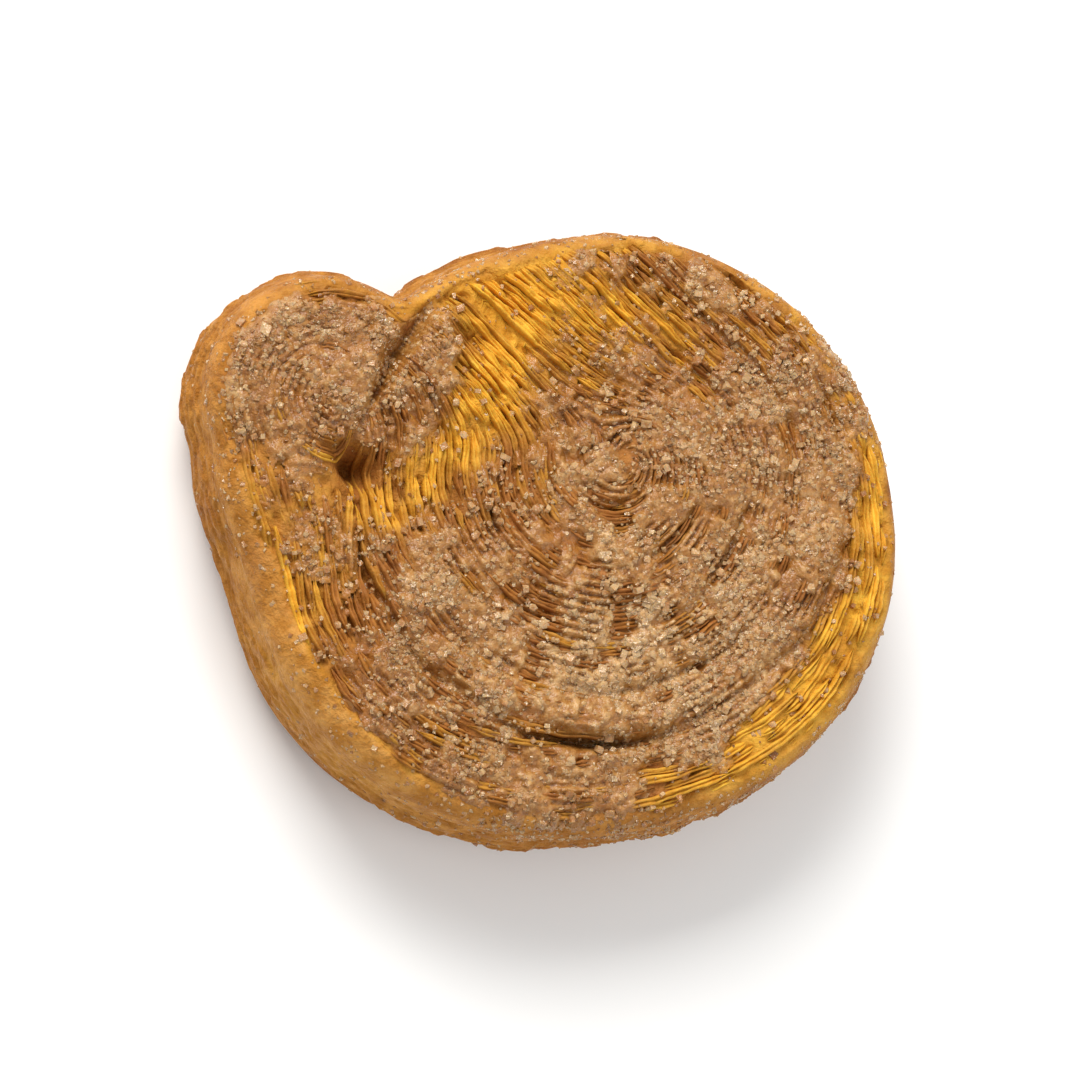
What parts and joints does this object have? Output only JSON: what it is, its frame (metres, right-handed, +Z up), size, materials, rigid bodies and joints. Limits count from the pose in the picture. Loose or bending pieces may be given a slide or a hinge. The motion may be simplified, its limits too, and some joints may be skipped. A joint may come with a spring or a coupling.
{
  "type": "palmier biscuit",
  "caption": "A sugared palmier biscuit of rolled puff pastry, a large and a small scroll side by side, lying flat with its cut face up.",
  "frame": {"origin": "Middle of the bounding box on the resting plane.", "axes": "+X along the longest side, from the small scroll to the large one; +Y across, toward the notch between the scrolls; +Z up out of the cut face."},
  "size_m": [0.055, 0.047, 0.016],
  "materials": {
    "baked_crust": "dry, flaky, browned and sugar-crusted"
  },
  "bodies": {
    "root": {"palmier": "baked_crust"}
  },
  "joints": []
}
